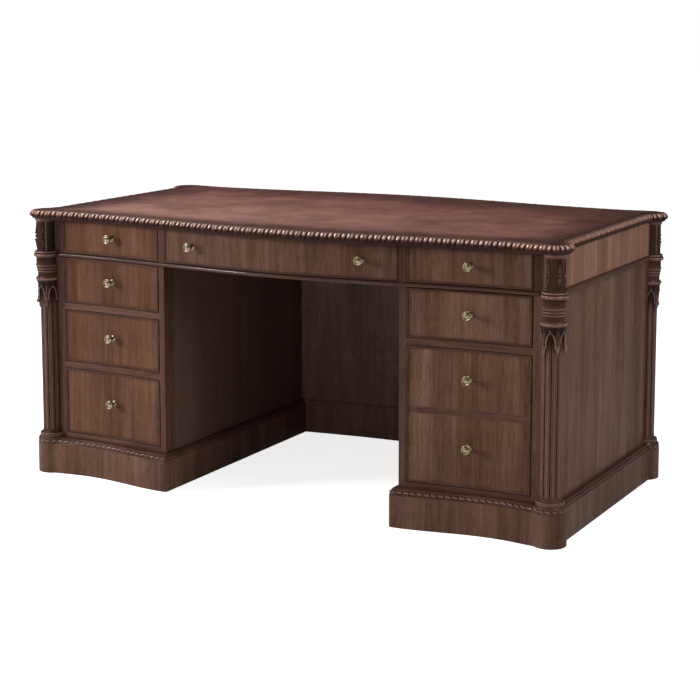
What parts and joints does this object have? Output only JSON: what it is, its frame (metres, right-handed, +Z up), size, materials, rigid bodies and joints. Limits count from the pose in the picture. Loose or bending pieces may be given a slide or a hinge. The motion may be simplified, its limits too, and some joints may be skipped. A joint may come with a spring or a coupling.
{
  "type": "executive desk",
  "caption": "Executive desk on drawer pedestals, with serpentine long sides, a leather writing top with a carved edge, and reeded corner columns.",
  "frame": {"origin": "on the floor under the middle of the top", "axes": "+X along the desk to the right as the sitter faces it, +Y from the drawer side to the back, +Z up; the drawers face -Y"},
  "size_m": [1.675, 0.9498, 0.775],
  "materials": {
    "veneer": "dark brown walnut veneer, satin lacquer, grain upright",
    "carved_wood": "darker carved hardwood, satin, rubbed lighter on the high spots",
    "drawer_wood": "plain mid-brown hardwood, thin matt finish",
    "leather": "reddish brown hide, burnished dark at the edges, fine grain",
    "brass": "aged brass, dulled in the hollows"
  },
  "bodies": {
    "case": {"top_panel": "veneer", "leather_inlay": "leather", "carved_edge_front": "carved_wood", "carved_edge_back": "carved_wood", "carved_edge_left": "carved_wood", "carved_edge_right": "carved_wood", "frieze_front_frame": "veneer", "frieze_back": "veneer", "frieze_end_left": "veneer", "frieze_end_right": "veneer", "dust_board": "drawer_wood", "frieze_divider_left": "drawer_wood", "frieze_divider_right": "drawer_wood", "plinth_left": "veneer", "plinth_right": "veneer", "base_board_left": "carved_wood", "base_board_right": "carved_wood", "pedestal_frame_left": "veneer", "pedestal_frame_right": "veneer", "pedestal_side_left": "veneer", "pedestal_side_right": "veneer", "pedestal_knee_side_left": "veneer", "pedestal_knee_side_right": "veneer", "pedestal_back_left": "veneer", "pedestal_back_right": "veneer", "modesty_plinth": "veneer", "modesty_panel": "veneer", "column_front_left": "carved_wood", "column_front_right": "carved_wood", "column_back_left": "carved_wood", "column_back_right": "carved_wood"},
    "drawer_left_low": {"drawer_front_left_low": "veneer", "drawer_box_left_low": "drawer_wood", "knob_left_low": "brass"},
    "drawer_left_middle": {"drawer_front_left_middle": "veneer", "drawer_box_left_middle": "drawer_wood", "knob_left_middle": "brass"},
    "drawer_left_top": {"drawer_front_left_top": "veneer", "drawer_box_left_top": "drawer_wood", "knob_left_top": "brass"},
    "drawer_right_file": {"drawer_front_right_file": "veneer", "drawer_box_right_file": "drawer_wood", "knob_right_file_low": "brass", "knob_right_file_high": "brass"},
    "drawer_right_top": {"drawer_front_right_top": "veneer", "drawer_box_right_top": "drawer_wood", "knob_right_top": "brass"},
    "drawer_frieze_left": {"drawer_front_frieze_left": "veneer", "drawer_box_frieze_left": "drawer_wood", "knob_frieze_left": "brass"},
    "drawer_frieze_right": {"drawer_front_frieze_right": "veneer", "drawer_box_frieze_right": "drawer_wood", "knob_frieze_right": "brass"},
    "drawer_frieze_centre": {"drawer_front_frieze_centre": "veneer", "drawer_box_frieze_centre": "drawer_wood", "knob_frieze_centre_left": "brass", "knob_frieze_centre_right": "brass"}
  },
  "joints": [
    {"name": "left_low_slide", "type": "slide", "parent": "case", "child": "drawer_left_low", "axis": [0, -1, 0], "range_m": [0, 0.45]},
    {"name": "left_middle_slide", "type": "slide", "parent": "case", "child": "drawer_left_middle", "axis": [0, -1, 0], "range_m": [0, 0.45]},
    {"name": "left_top_slide", "type": "slide", "parent": "case", "child": "drawer_left_top", "axis": [0, -1, 0], "range_m": [0, 0.45]},
    {"name": "right_file_slide", "type": "slide", "parent": "case", "child": "drawer_right_file", "axis": [0, -1, 0], "range_m": [0, 0.45]},
    {"name": "right_top_slide", "type": "slide", "parent": "case", "child": "drawer_right_top", "axis": [0, -1, 0], "range_m": [0, 0.45]},
    {"name": "frieze_left_slide", "type": "slide", "parent": "case", "child": "drawer_frieze_left", "axis": [0, -1, 0], "range_m": [0, 0.39]},
    {"name": "frieze_right_slide", "type": "slide", "parent": "case", "child": "drawer_frieze_right", "axis": [0, -1, 0], "range_m": [0, 0.39]},
    {"name": "frieze_centre_slide", "type": "slide", "parent": "case", "child": "drawer_frieze_centre", "axis": [0, -1, 0], "range_m": [0, 0.39]}
  ]
}
